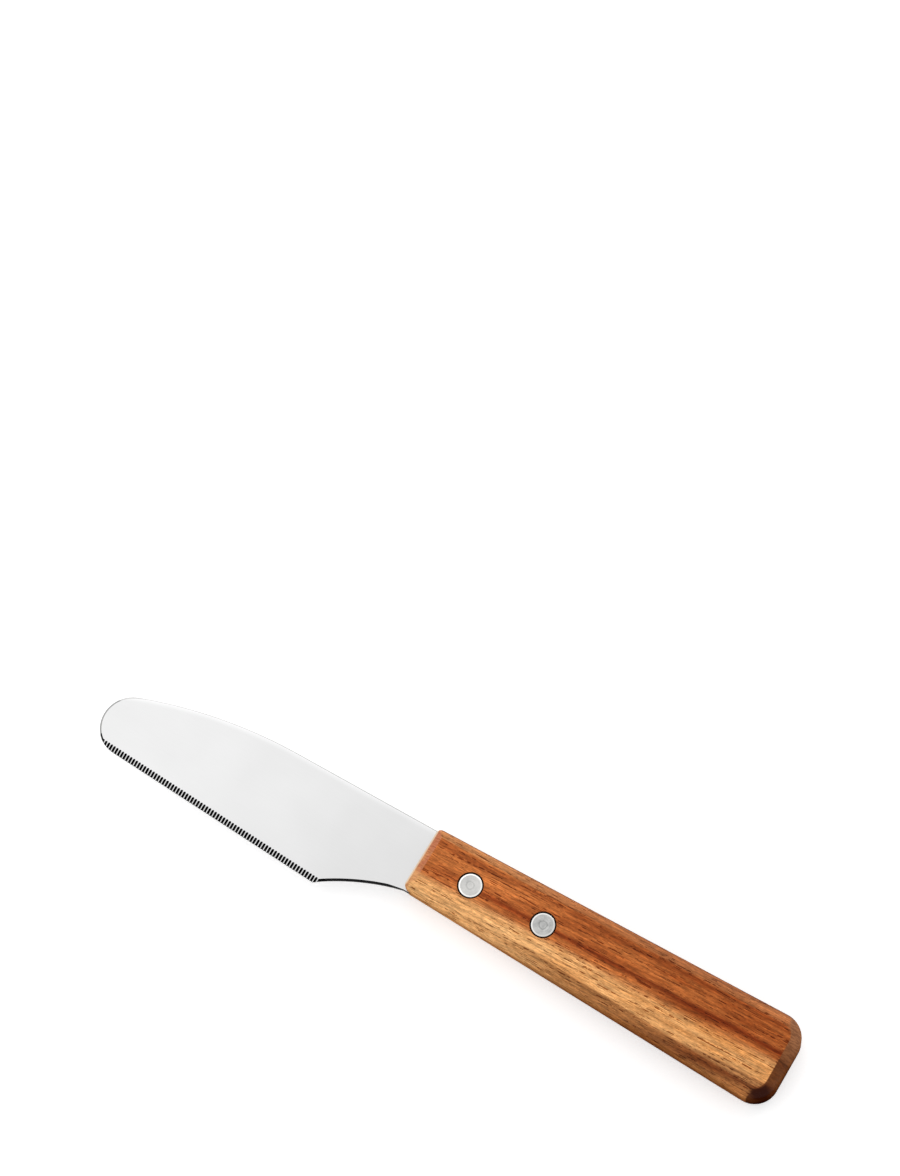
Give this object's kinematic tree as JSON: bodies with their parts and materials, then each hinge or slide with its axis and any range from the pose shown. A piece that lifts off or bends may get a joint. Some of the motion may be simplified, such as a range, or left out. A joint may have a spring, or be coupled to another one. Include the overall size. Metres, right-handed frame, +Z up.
{
  "type": "butter knife",
  "caption": "Table knife with a plain flat steel blade, a fine toothed edge and a riveted straight wooden handle.",
  "frame": {"origin": "bottom centre of the knife's box; the knife lies on the handle's lower broad face", "axes": "+X along the knife towards the butt, +Y towards the back of the blade, +Z up out of the handle's upper broad face"},
  "size_m": [0.19, 0.0292, 0.011],
  "materials": {
    "blade_steel": "satin, ground flutes along the edge",
    "handle_wood": "oiled, reddish brown heartwood with a golden sapwood band",
    "rivet_metal": "satin with a bright rim"
  },
  "bodies": {
    "root": {"blade": "blade_steel", "handle": "handle_wood", "front_rivet_tube": "rivet_metal", "front_rivet_pin": "rivet_metal", "rear_rivet_tube": "rivet_metal", "rear_rivet_pin": "rivet_metal"}
  },
  "joints": []
}
